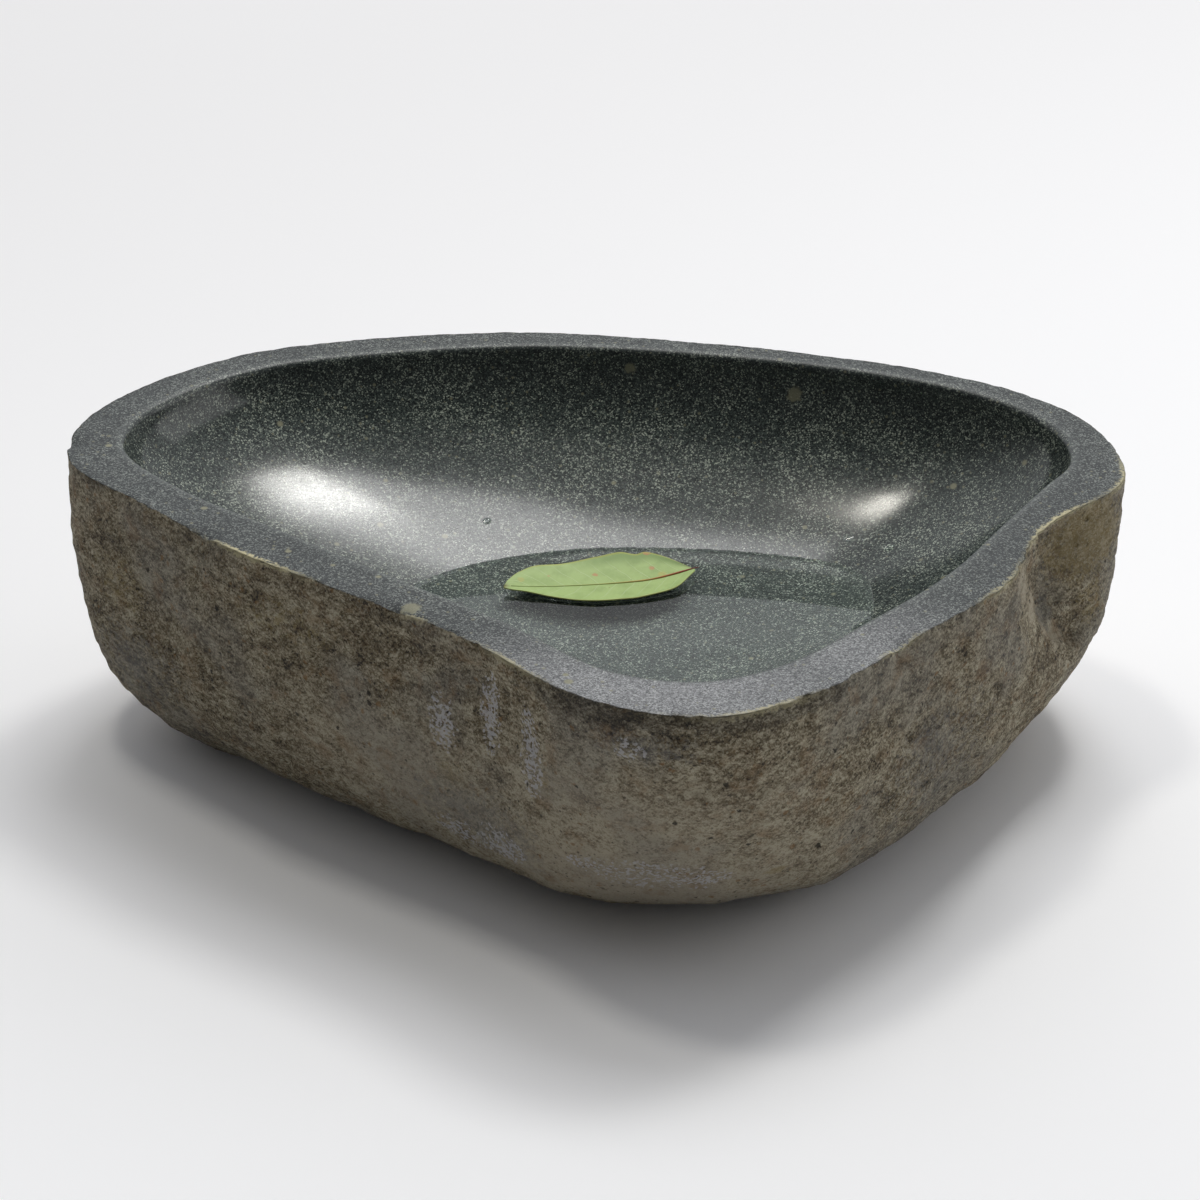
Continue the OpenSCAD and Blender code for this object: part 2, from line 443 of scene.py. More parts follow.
@dataclass(frozen=True)
class StoneFinish:
    """Speckled dark stone: polished hollow, honed rim and weathered crust.

    Places and the sizes of patterns are in millimetres, and the height of the relief in metres.
    """

    polished: Ramp = (
        (0.25, tone(27, 34, 33)), (0.6, tone(69, 78, 74)), (0.74, tone(69, 78, 74)),
        (0.94, tone(170, 177, 163)),
    )
    honed: Ramp = ((0.15, tone(36, 40, 42)), (0.6, tone(55, 60, 62)), (0.96, tone(132, 137, 133)))
    inclusion: Colour = tone(138, 136, 112)
    crust_light: Colour = tone(190, 182, 158)
    crust: Ramp = ((0.12, tone(38, 32, 24)), (0.48, tone(116, 104, 80)), (0.95, crust_light))
    rust: Colour = tone(132, 96, 52)
    slate: Colour = tone(108, 109, 109)
    pale: Colour = tone(196, 196, 200)
    soot_and_shade: Colour = tone(32, 28, 22)
    cream: Colour = tone(186, 178, 142)
    tan: Colour = tone(172, 160, 140)
    inclusions: Spots = (
        ((86, 136, 106), 4.0), ((15, 151, 112), 3.0), ((-68, -91, 122), 4.5), ((140, 30, 98), 2.5),
        ((60, 118, 84), 2.2), ((-30, 140, 100), 2.2),
    )
    pits: Spots = (
        ((-112, 94, 82), 1.1), ((-109, 92, 81), 0.9), ((-46, 100, 72), 1.0), ((30, 120, 84), 0.8),
    )
    looks: tuple[StainLook, ...] = (
        StainLook(Stain.OCHRE, tone(140, 122, 72), 0.85, 0.3),
        StainLook(Stain.SLATE, slate, 0.75, 0.25),
        StainLook(Stain.DARK, soot_and_shade, 0.8, 0.3),
        StainLook(Stain.PALE, pale, 0.85, 0.45, speckle=1.7, ground_least=0.0, ground_more=0.3),
    )
    salt_size: float = 0.5
    crystal_size: float = 1.3
    grit_sizes: Point = (0.6, 1.1, 2.4)
    blot_size: float = 13.0
    broad_size: float = 45.0
    # Height at which the relief is read again for the painted light and shade of its ledges.
    ledge_size: float = 7.0
    painted_light_offset: float = 0.8
    relief_size: float = 8.0
    relief_height: float = 3.4 * MM
    fray_size: float = 3.0
    honed_roughness: float = 0.7
    polish: float = 0.53
    crust_roughness: float = 0.92
    wet_roughness: float = 0.7
    ior: float = 1.52

    def _cut_stone(self, tree: Tree, place: Value, inside: Value) -> Value:
        """Colour of the cut stone.

        Args:
            tree: The material's nodes.
            place: Place on the stone.
            inside: 1 in the polished hollow and 0 on the honed rim.

        Returns:
            The colour.
        """
        thick = tree.cloud(place, 26.0, 5.0, 0.65).rise(0.38, 0.66)
        salt = tree.cells(place, self.salt_size) * 0.86 + tree.cells(place, self.crystal_size) * 0.14
        level = salt + (thick - 0.5) * 0.1
        # Lighter towards pale on the rim's front: dust, and painted sheen of the lamps on it.
        dust_and_sheen_mask = tree.attribute(Stain.DUST_AND_SHEEN.value) * (0.15 + salt * 0.75)
        rim = tree.mix(dust_and_sheen_mask, tree.ramp(level, self.honed), self.pale)
        cut = tree.mix(inside, rim, tree.ramp(level, self.polished))
        small = tree.grains(place, 3.0, 0.3, 0.26)
        large = tree.grains(place, 9.0, 0.2, 0.2)
        colour = tree.mix((small * 0.6).most(large * 0.85), cut, self.inclusion)
        torn = tree.cloud(place, 2.0, 4.0, 0.7)
        for centre, radius in self.inclusions:
            colour = tree.mix(tree.spot(place, centre, radius, torn) * 0.75, colour, self.inclusion)
        for centre, radius in self.pits:
            colour = tree.mix(tree.spot(place, centre, radius, torn), colour, self.soot_and_shade)
        return colour

    def _ground(self, tree: Tree, place: Value, bent: Value, grit: Value, relief: Value) -> Value:
        """Colour of the bare crust, with painted light and shade from its relief.

        Args:
            tree: The material's nodes.
            place: Place on the stone.
            bent: The same place, bent by a noise.
            grit: Random number of each grain.
            relief: Height of the crust's roughness.

        Returns:
            The colour.
        """
        broad = tree.cloud(place, self.broad_size, 3.0, 0.5)
        # Painted light and shade: lighter where the relief faces up, darker where it faces down and in its
        # low places.
        above = tree.vector("ADD", place, (0.0, 0.0, self.painted_light_offset))
        ledge_light_and_shade = tree.cloud(place, self.ledge_size, 4.0, 0.7) - tree.cloud(above, self.ledge_size, 4.0, 0.7)
        blots = tree.cloud(bent, self.blot_size, 5.0, 0.62)
        # Lifts and tints the crust: paler stone, partly painted bounce light low on the front and painted
        # light along the ridge.
        tan = tree.attribute(Stain.TAN.value)
        level = grit * 0.8 + blots * 0.55 + broad * 0.25 + relief * 1.1 + tan * 0.26 + ledge_light_and_shade * 1.8 - 0.77
        ground = tree.mix(broad.rise(0.45, 0.62) * 0.35, tree.ramp(level, self.crust), self.slate)
        return tree.mix(tan * (0.25 + grit * 0.3), ground, self.tan)

    def _crust(self, tree: Tree, place: Value, relief: Value) -> Value:
        """Colour of the weathered crust with its stains and the painted light and shade among them.

        Args:
            tree: The material's nodes.
            place: Place on the stone.
            relief: Height of the crust's roughness.

        Returns:
            The colour.
        """
        warp = tree.node("ShaderNodeTexNoise", {}, {"Vector": place, "Scale": 0.4, "Detail": 2.0}, "Color")
        bent = tree.vector("MULTIPLY_ADD", warp, (3.0, 3.0, 3.0), place)
        fine, middling, coarse = self.grit_sizes
        grit = tree.cells(place, fine) * 0.45 + tree.cells(place, middling) * 0.35
        grit = grit + tree.cells(bent, coarse) * 0.2
        ground = self._ground(tree, place, bent, grit, relief)
        rusty = tree.grains(bent, 3.2, 0.3, 0.4) * tree.cloud(place, 18.0).rise(0.42, 0.6)
        warm = tree.cloud(bent, 11.0, 5.0, 0.6).rise(0.52, 0.7) * (0.2 + grit * 0.5)
        colour = tree.mix((rusty * 0.65).most(warm * 0.7), ground, self.rust)
        holes = (tree.grains(bent, 4.4, 0.24, 0.26) * 0.85).most(tree.grains(place, 2.1, 0.22, 0.3) * 0.6)
        colour = tree.mix(holes, colour, self.soot_and_shade)
        colour = tree.mix(tree.grains(place, 1.6, 0.2, 0.4) * 0.55, colour, self.crust_light)
        tear = (tree.cloud(place, 3.4, 6.0, 0.75) - 0.5) * 2.4
        speckle = tree.cells(place, middling) - 0.5
        for look in self.looks:
            weight = tree.attribute(look.stain.value)
            torn = (tear + speckle * look.speckle) * weight.rise(0.0, 0.2)
            patchy = (weight + torn).rise(look.edge, look.edge + 0.5)
            through = look.ground_least + grit * look.ground_more
            colour = tree.mix(patchy * look.strength, colour, tree.mix(through, look.tint, ground))
        return colour

    def material(self) -> bpy.types.Material:
        """Builds the material.

        Returns:
            The material.
        """
        tree = Tree(bpy.data.materials.new("river_stone"))
        place = tree.millimetres()
        fray = tree.cloud(place, self.fray_size, 4.0, 0.7) - 0.5
        from_edge = tree.attribute("from_edge")
        crust = (from_edge + fray * 2.4).rise(0.35, -0.35)
        torn = fray * 6.0 + (tree.cells(place, 1.0) - 0.5) * 2.0
        broken = abs(from_edge + torn).rise(2.4, 0.5) * tree.attribute(Stain.CREAM.value)
        inside = (tree.attribute("from_lip") + fray * 3.0).rise(-3.0, 4.0)
        relief = tree.cloud(place, self.relief_size, 10.0, 0.68)
        colour = tree.mix(crust, self._cut_stone(tree, place, inside), self._crust(tree, place, relief))
        colour = tree.mix(broken * 0.9, colour, self.cream)
        scratches = tree.cloud(tree.millimetres((9.0, 0.35, 4.0), 0.6), 1.4, 3.0, 0.6) - 0.5
        smears = tree.cloud(place, 5.0, 4.0) - 0.5
        rough_cut = self.honed_roughness - inside * self.polish + smears * 0.1 + scratches * 0.12
        under_water = tree.attribute("depth").rise(-0.2, 0.4)
        dry = rough_cut + crust * (self.crust_roughness - rough_cut)
        roughness = dry.most(under_water * self.wet_roughness)
        ledges = tree.cloud(tree.millimetres((2.6, 2.6, 0.8)), self.ledge_size, 7.0, 0.66)
        pits = tree.grains(place, 4.0, 0.3, 0.3)
        grain = tree.cells(place, 0.8)
        rough_height = relief * 1.5 + ledges * 0.7 - pits * 0.3 + grain * 0.05
        height = crust * rough_height + (1 - crust) * grain * 0.006
        normal = tree.bump(height, self.relief_height)
        values = {"Base Color": colour, "Roughness": roughness, "Normal": normal, "IOR": self.ior}
        return tree.finish(tree.surface(values))


@dataclass(frozen=True)
class WaterFinish:
    """Clear still water with a slight swell, which lets the lamps through to the stone below.

    The swell is in metres, and the places along Y where it starts and ends are in millimetres.
    """

    tint: Colour = (0.93, 0.97, 0.97, 1.0)
    ior: float = 1.333
    swell: float = 0.7 * MM
    swell_back: float = 17.0
    swell_front: float = -14.0

    def material(self) -> bpy.types.Material:
        """Builds the material.

        Returns:
            The material.
        """
        tree = Tree(bpy.data.materials.new("clear_water"))
        across = tree.node("ShaderNodeSeparateXYZ", {}, {0: tree.millimetres()}, "Y")
        swell = tree.bump(across.rise(self.swell_back, self.swell_front), self.swell)
        water = tree.surface({
            "Base Color": self.tint, "Roughness": 0.0, "IOR": self.ior, "Transmission Weight": 1.0,
            "Normal": swell,
        })
        open_air = tree.node("ShaderNodeBsdfTransparent", {}, {"Color": self.tint})
        lamp_ray = tree.node("ShaderNodeLightPath", output="Is Shadow Ray")
        return tree.finish(tree.node("ShaderNodeMixShader", {}, {0: lamp_ray, 1: water, 2: open_air}))


@dataclass(frozen=True)
class LeafFinish:
    """Green leaf seen from its underside, with fine veins and spots, and its relief in metres."""

    green: Colour = tone(166, 190, 118)
    shade: Colour = tone(112, 140, 66)
    vein: Colour = tone(186, 204, 150)
    border: Colour = tone(182, 178, 96)
    rust: Colour = tone(196, 122, 84)
    brown: Colour = tone(112, 92, 50)
    side_veins: float = 11.0
    vein_slant: float = 1.5
    roughness: float = 0.55
    relief: float = 0.2 * MM

    def _spotted(self, tree: Tree, place: Value, colour: Value, red: Spots, yellow: Spots) -> Value:
        """Adds the spots and specks.

        Args:
            tree: The material's nodes.
            place: Place on the leaf.
            colour: The leaf's colour without them.
            red: Places and radii of the red spots.
            yellow: Places and radii of the yellow spots.

        Returns:
            The colour with them.
        """
        colour = tree.mix(tree.grains(place, 9.0, 0.4, 0.16) * 0.6, colour, self.rust)
        colour = tree.mix(tree.grains(place, 3.0, 0.25, 0.1) * 0.6, colour, self.brown)
        torn = tree.cloud(place, 1.5, 4.0, 0.7)
        for centre, radius in yellow:
            colour = tree.mix(tree.spot(place, centre, radius, torn) * 0.6, colour, self.border)
        for centre, radius in red:
            colour = tree.mix(tree.spot(place, centre, radius, torn) * 0.65, colour, self.rust)
        return colour

    def material(self, red: Spots, yellow: Spots) -> bpy.types.Material:
        """Builds the material.

        Args:
            red: Places and radii of the red spots.
            yellow: Places and radii of the yellow spots.

        Returns:
            The material.
        """
        tree = Tree(bpy.data.materials.new("leaf_underside"))
        place = tree.millimetres()
        along = tree.attribute("along")
        across = tree.attribute("across")
        wide = abs(across)
        uneven = (tree.cloud(place, 9.0) - 0.5) * 0.4
        side_veins = (along * self.side_veins + wide * self.vein_slant + uneven).wrapped() - 0.5
        vein = abs(side_veins).rise(0.06, 0.015) * (1 - wide).rise(0.0, 0.4)
        mesh = tree.cloud(place, 1.2, 3.0, 0.6)
        colour = tree.mix(tree.cloud(place, 7.0, 4.0).rise(0.4, 0.75) * 0.35, self.green, self.shade)
        colour = tree.mix(mesh.rise(0.5, 0.8) * 0.25, colour, self.vein)
        colour = tree.mix(vein * 0.5, colour, self.vein)
        to_stalk = (along + (tree.cloud(place, 6.0) - 0.5) * 0.3).rise(0.35, 0.6)
        back_edge = (across - 0.55).rise(0.0, 0.35) * to_stalk
        colour = tree.mix(back_edge * 0.75, colour, self.shade)
        colour = self._spotted(tree, place, colour, red, yellow)
        colour = tree.mix(wide.rise(0.93, 0.99) * 0.6, colour, self.border)
        colour = tree.mix((along + wide * 0.02).rise(0.05, 0.0) * 0.8, colour, self.brown)
        normal = tree.bump(vein * 0.5 + mesh * 0.3, self.relief, 0.6)
        values = {"Base Color": colour, "Roughness": self.roughness, "Normal": normal}
        return tree.finish(tree.surface(values))


@dataclass(frozen=True)
class MidribFinish:
    """The leaf's rib: pale green at the tip, then yellow and orange, and dark red at the stalk."""

    along: Ramp = (
        (0.0, tone(172, 192, 124)), (0.5, tone(182, 190, 112)), (0.7, tone(190, 158, 82)),
        (0.82, tone(180, 110, 56)), (0.94, tone(140, 44, 26)), (1.0, tone(84, 22, 20)),
    )
    roughness: float = 0.45

    def material(self) -> bpy.types.Material:
        """Builds the material.

        Returns:
            The material.
        """
        tree = Tree(bpy.data.materials.new("leaf_midrib"))
        colour = tree.ramp(tree.attribute("along"), self.along)
        return tree.finish(tree.surface({"Base Color": colour, "Roughness": self.roughness}))


@dataclass(frozen=True)
class FloorFinish:
    """Pale paper under the bowl, with painted light: paler towards the camera and the right."""

    far_left: Colour = (0.83, 0.825, 0.84, 1.0)
    near_right: Colour = (0.98, 0.98, 1.0, 1.0)
    nearer: Point = (0.6, -1.0, 0.0)
    ends: tuple[float, float] = (-1.1, 0.3)
    roughness: float = 0.9

    def material(self) -> bpy.types.Material:
        """Builds the material.

        Returns:
            The material.
        """
        tree = Tree(bpy.data.materials.new("pale_floor"))
        place = tree.node("ShaderNodeTexCoord", output="Object")
        # Painted light: the floor's colour grows paler towards the camera and the right.
        share = tree.vector("DOT_PRODUCT", place, self.nearer, output="Value").rise(*self.ends)
        colour = tree.mix(share, self.far_left, self.near_right)
        return tree.finish(tree.surface({"Base Color": colour, "Roughness": self.roughness}))


def merged_copy(node: str) -> bmesh.types.BMesh:
    """A CAD node's mesh with its loose triangles joined at their corners.

    Args:
        node: The CAD node's name.

    Returns:
        The mesh, ready to be worked on.
    """
    mesh = bmesh.new()
    mesh.from_mesh(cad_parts[node].data)
    bmesh.ops.remove_doubles(mesh, verts=mesh.verts, dist=TOUCHING)
    return mesh


def number_rings(
    mesh: bmesh.types.BMesh, measure: Callable[[bmesh.types.BMVert], float]
) -> list[set[bmesh.types.BMVert]]:
    """Numbers the rings of points that a stack of rings is made of.

    Args:
        mesh: The mesh; the number goes into its "ring" layer.
        measure: Least at the point that closes the stack's first end.

    Returns:
        The rings in order, with the first end's point alone in the first.
    """
    layer = mesh.verts.layers.float.new("ring")
    start = min(mesh.verts, key=measure)
    rings = [{start}]
    seen = {start}
    while rings[-1]:
        ring = {edge.other_vert(vert) for vert in rings[-1] for edge in vert.link_edges} - seen
        for vert in ring:
            vert[layer] = float(len(rings))
        seen |= ring
        rings.append(ring)
    return rings[:-1]


def make_object(name: str, mesh: bmesh.types.BMesh) -> bpy.types.Object:
    """Turns a finished bmesh into a smooth shaded object in the scene.

    Args:
        name: The piece's name.
        mesh: The mesh, which is freed.

    Returns:
        The new object.
    """
    data = bpy.data.meshes.new(name)
    mesh.to_mesh(data)
    mesh.free()
    data.polygons.foreach_set("use_smooth", [True] * len(data.polygons))
    made = bpy.data.objects.new(name, data)
    bpy.context.scene.collection.objects.link(made)
    return made


def rounded(piece: bpy.types.Object, levels: int) -> None:
    """Rounds a piece with a Subdivision Surface and keeps the result as its mesh.

    Args:
        piece: The piece.
        levels: How many times its faces are divided.
    """
    modifier = piece.modifiers.new("Round", "SUBSURF")
    modifier.levels = modifier.render_levels = levels
    depsgraph = bpy.context.evaluated_depsgraph_get()
    data = bpy.data.meshes.new_from_object(piece.evaluated_get(depsgraph))
    piece.modifiers.clear()
    piece.data = data


def dress(piece: bpy.types.Object, material: bpy.types.Material) -> None:
    """Gives a piece one material."""
    piece.data.materials.clear()
    piece.data.materials.append(material)


def nearness(verts: list[bmesh.types.BMVert]) -> kdtree.KDTree:
    """Sorts some points for finding the nearest of them.

    Args:
        verts: The points.

    Returns:
        The tree that finds them.
    """
    tree = kdtree.KDTree(len(verts))
    for k, vert in enumerate(verts):
        tree.insert(vert.co, k)
    tree.balance()
    return tree


def join_to_quads(mesh: bmesh.types.BMesh, faces: list[bmesh.types.BMFace]) -> None:
    """Joins triangles to quads in pairs, at any angle."""
    bmesh.ops.join_triangles(
        mesh, faces=faces, angle_face_threshold=math.pi, angle_shape_threshold=math.pi
    )


def extend(
    mesh: bmesh.types.BMesh, border: list[bmesh.types.BMEdge]
) -> tuple[list[bmesh.types.BMVert], list[bmesh.types.BMEdge]]:
    """Extrudes an open border by one ring, which still lies on the old one.

    Args:
        mesh: The mesh.
        border: The border's edges.

    Returns:
        The new ring's points and its edges, which are the new border.
    """
    made = bmesh.ops.extrude_edge_only(mesh, edges=border)["geom"]
    verts = [item for item in made if isinstance(item, bmesh.types.BMVert)]
    edges = [item for item in made if isinstance(item, bmesh.types.BMEdge)]
    return verts, edges


@dataclass
class RiverStone:
    """The hollowed stone, with its rough crust, sawn rim and polished hollow."""

    rim_fall: float = 8 * MM
    rim_flatness: float = 0.05 * MM
    edge_band: float = 2.5 * MM
    inner_crease: float = 0.4
    back_fray: float = 0.35 * MM
    front_fray: float = 1.9 * MM
    fray_reach: float = 3.5 * MM
    fray_size: float = 5 * MM
    fray_centre: float = 0.6
    fray_change: tuple[float, float] = (40 * MM, -10 * MM)
    lump_size: float = 24 * MM
    lump_height: float = 1.2 * MM
    ledge_size: Point = (30 * MM, 30 * MM, 7 * MM)
    ledge_height: float = 0.6 * MM
    pit_size: float = 6 * MM
    pit_depth: float = 3.0 * MM
    pit_share: float = 0.3
    relief_at_rim: float = 0.25
    relief_start: tuple[float, float] = (0.0, 6 * MM)
    scoop_start: tuple[float, float] = (0.5 * MM, 5 * MM)
    foot: float = 0.5 * MM
    foot_centre: float = 1 * MM
    ring_gap: float = 0.01
    inmost_ring: float = 0.9
    stains_inward: float = 4 * MM
    rounding: int = 2
    scoop: Hollow = Hollow()
    patches: tuple[Patch, ...] = (
        Patch(Stain.PALE, (-24, -138, 86), (8, 8, 28), 1.0),
        Patch(Stain.PALE, (-38, -122, 95), (7, 7, 24), 0.9),
        Patch(Stain.PALE, (-56, -105, 82), (10, 10, 18), 0.85),
        # Pale line along the scoop's ridge: paler broken stone, and painted light on the ridge.
        Patch(Stain.TAN, (164, -46, 110), (6, 9, 9), 1.7),
        Patch(Stain.TAN, (167, -37, 101), (6, 9, 10), 1.7),
        Patch(Stain.TAN, (171, -28, 90), (6, 9, 11), 1.7),
        Patch(Stain.TAN, (178, -20, 79), (7, 8, 11), 1.6),
        Patch(Stain.TAN, (184, -15, 69), (8, 8, 8), 1.6),
        Patch(Stain.PALE, (-36, -115, 34), (18, 18, 14), 0.65),
        Patch(Stain.PALE, (-52, -100, 30), (20, 20, 10), 0.6),
        Patch(Stain.PALE, (12, -163, 104), (9, 9, 8), 0.6),
        Patch(Stain.PALE, (38, -146, 39), (14, 10, 5), 0.9),
        Patch(Stain.PALE, (-5, -141, 44), (14, 12, 5), 0.6),
        Patch(Stain.PALE, (20, -148, 40), (50, 20, 16), 0.4),
        # Paler low on the front: paler stone, and painted light bounced from the floor.
        Patch(Stain.TAN, (10, -140, 30), (130, 80, 56), 1.5),
        Patch(Stain.TAN, (-60, -90, 44), (120, 70, 56), 1.0),
        Patch(Stain.TAN, (10, -150, 70), (100, 60, 44), 0.9),
        # Rim's front and front right lighter: dust, and painted sheen.
        Patch(Stain.DUST_AND_SHEEN, (20, -150, 118), (140, 60, 60), 0.65),
        Patch(Stain.DUST_AND_SHEEN, (95, -120, 118), (70, 60, 60), 0.5),
        Patch(Stain.SLATE, (-45, -110, 42), (55, 50, 30), 0.9),
        Patch(Stain.SLATE, (-185, 6, 45), (50, 50, 34), 0.8),
        Patch(Stain.SLATE, (15, -165, 106), (40, 16, 14), 0.7),
        Patch(Stain.SLATE, (125, -85, 60), (60, 60, 50), 0.6),
        Patch(Stain.SLATE, (184, -18, 80), (10, 16, 14), 1.2),
        Patch(Stain.DARK, (-199, 12, 124), (14, 16, 10), 0.9),
        Patch(Stain.DARK, (-191, 4, 101), (14, 16, 11), 0.7),
        Patch(Stain.DARK, (-150, -34, 112), (60, 50, 14), 0.6),
        Patch(Stain.DARK, (-66, -99, 83), (2.4, 2.4, 2.4), 1.8),
        # Dark band just under the rim's front edge: painted shade under the edge.
        Patch(Stain.DARK, (0, -160, 118), (80, 50, 10), 1.5),
        Patch(Stain.DARK, (64, -158, 117), (80, 50, 9), 1.5),
        # Darker beside the scoop's ridge: painted shade.
        Patch(Stain.DARK, (188, -14, 82), (10, 15, 14), 0.8),
        Patch(Stain.DARK, (158, -56, 104), (12, 14, 10), 0.8),
        Patch(Stain.DARK, (-80, -92, 118), (40, 30, 6), 0.6),
        Patch(Stain.OCHRE, (-190, 4, 84), (26, 26, 30), 0.5),
        Patch(Stain.OCHRE, (-54, -106, 58), (18, 18, 16), 0.6),
        Patch(Stain.OCHRE, (-19, -141, 78), (14, 14, 14), 0.5),
        Patch(Stain.OCHRE, (202, 0, 102), (38, 44, 30), 1.5),
        Patch(Stain.OCHRE, (200, 10, 75), (16, 26, 30), 0.6),
        Patch(Stain.OCHRE, (-120, -62, 100), (50, 50, 20), 0.45),
        Patch(Stain.OCHRE, (67, -139, 38), (8, 8, 4), 1.2),
        Patch(Stain.CREAM, (150, -60, 116), (30, 30, 14), 0.8),
        Patch(Stain.CREAM, (110, -112, 118), (20, 20, 12), 0.8),
        Patch(Stain.CREAM, (185, -12, 117), (40, 40, 14), 1.3),
        Patch(Stain.CREAM, (212, 30, 117), (20, 30, 14), 1.0),
        Patch(Stain.CREAM, (60, -160, 120), (50, 20, 12), 0.8),
        Patch(Stain.CREAM, (-130, -50, 122), (40, 40, 12), 1.3),
        Patch(Stain.CREAM, (-30, -130, 121), (30, 26, 10), 0.7),
        Patch(Stain.CREAM, (-66, -95, 122), (12, 12, 10), 0.8),
    )
    chips: tuple[Chip, ...] = (
        Chip((-214, 46, 125), 8, 1.4),
        Chip((-153, -34, 120), 12, 2.0),
        Chip((112, -113, 117), 11, 2.4),
        Chip((-75, -94, 122), 8, 1.4),
        Chip((-108, -69, 103), 8, 1.2),
        Chip((38, -158, 64), 4, 1.0),
        Chip((59, -154, 65), 4, 1.0),
        Chip((71, -140, 43), 4, 0.9),
        Chip((180, -17, 82), 16, 1.6),
    )

    def __post_init__(self) -> None:
        """Reads the stone's box and the water's level once."""
        self.low, self.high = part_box("stone_bowl")
        self.water_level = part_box("water_pool")[1].z

    def rim_height(self, x: float) -> float:
        """Height of the sawn rim at a place along the stone."""
        return self.high.z - self.rim_fall * (x - self.low.x) / (self.high.x - self.low.x)

    def _cage(self) -> tuple[bpy.types.Object, int, int]:
        """Makes a cage of quads for rounding out of the CAD stone.

        Returns:
            The cage, and the numbers of the rings at the rim's outer and inner edge.
        """
        mesh = merged_copy("stone_bowl")
        crease = mesh.edges.layers.float.new("crease_edge")
        rings = number_rings(mesh, lambda vert: vert.co.length)
        ring = mesh.verts.layers.float["ring"]
        level = [
            k for k, verts in enumerate(rings)
            if k and all(abs(v.co.z - self.rim_height(v.co.x)) < self.rim_flatness for v in verts)
        ]
        outer = level[0]
        inner = level[-1]
        last = len(rings) - 1
        join_to_quads(mesh, [f for f in mesh.faces if all(0 < v[ring] < last for v in f.verts)])
        rim = [f for f in mesh.faces if all(outer <= v[ring] <= inner for v in f.verts)]
        edges_of_rim = [(number, nearness(list(rings[number]))) for number in (outer, inner)]
        bmesh.ops.inset_region(
            mesh, faces=rim, thickness=self.edge_band, use_boundary=True, use_even_offset=True
        )
        for vert in mesh.verts:
            if outer <= vert[ring] <= inner or vert[ring] == 0 and vert.co.length > self.foot_centre:
                near = [number for number, points in edges_of_rim if points.find(vert.co)[2] < TOUCHING]
                vert[ring] = near[0] if near else (outer + inner) / 2
        for edge in mesh.edges:
            if all(v[ring] == outer for v in edge.verts):
                edge[crease] = 1.0
            if all(v[ring] == inner for v in edge.verts):
                edge[crease] = self.inner_crease
        return make_object("river_stone", mesh), outer, inner

    def _outside_relief(self, place: Vector) -> float:
        """Height of the crust's own relief, about zero.

        Args:
            place: Where it is read, in metres.

        Returns:
            The height, in metres.
        """
        lumps = noise.fractal(place / self.lump_size, 0.75, 2.1, 5)
        flat = Vector([place[k] / self.ledge_size[k] for k in range(3)])
        ledges = noise.fractal(flat, 0.9, 2.2, 4)
        pits = max(0.0, noise.noise(place / self.pit_size) - self.pit_share)
        return self.lump_height * lumps + self.ledge_height * ledges - self.pit_depth * pits

    def _fray(self, place: Vector, edge_gap: float) -> Vector:
        """How far a point near the rim's outer edge moves inwards, unevenly.

        Args:
            place: The point, in metres.
            edge_gap: Its distance from the edge, in metres.

        Returns:
            The shift, in metres.
        """
        away = (place - Vector((0.0, 0.0, self.fray_centre * self.high.z))).normalized()
        fray = max(0.0, noise.fractal(place / self.fray_size, 0.7, 2.2, 4) + 0.2)
        fray *= self.back_fray + (self.front_fray - self.back_fray) * ease(*self.fray_change, place.y)
        return -away * fray * ease(self.fray_reach, 0.0, edge_gap)

    def _shift(self, vert: bmesh.types.BMVert, outside: bool, under: float, edge_gap: float) -> Vector:
        """How far a point moves for the crust's relief, the scoop, the frayed edge and the chips.

        Args:
            vert: The point.
            outside: Whether it lies on the crust.
            under: How far it lies below the rim, in metres.
            edge_gap: Its distance from the rim's outer edge, in metres.

        Returns:
            The shift, in metres.
        """
        place = vert.co
        shift = Vector((0.0, 0.0, 0.0))
        if outside and place.z > self.foot:
            grown = self.relief_at_rim + (1 - self.relief_at_rim) * ease(*self.relief_start, under)
            shift += vert.normal * self._outside_relief(place) * grown
            shift -= vert.normal * self.scoop.sink(place) * ease(*self.scoop_start, under)
        if edge_gap < self.fray_reach:
            shift += self._fray(place, edge_gap)
        for chip in self.chips:
            shift += chip.dent(place, vert.normal)
        return shift

    def _stain(self, vert: bmesh.types.BMVert, layers: dict[Stain, bmesh.types.BMLayerItem]) -> None:
        """Keeps the strongest patch of each stain at a point.

        Args:
            vert: The point.
            layers: The layer of each stain.
        """
        for patch in self.patches:
            weight = patch.weight(vert.co)
            if weight > 0:
                layer = layers[patch.stain]
                vert[layer] = max(vert[layer], weight)

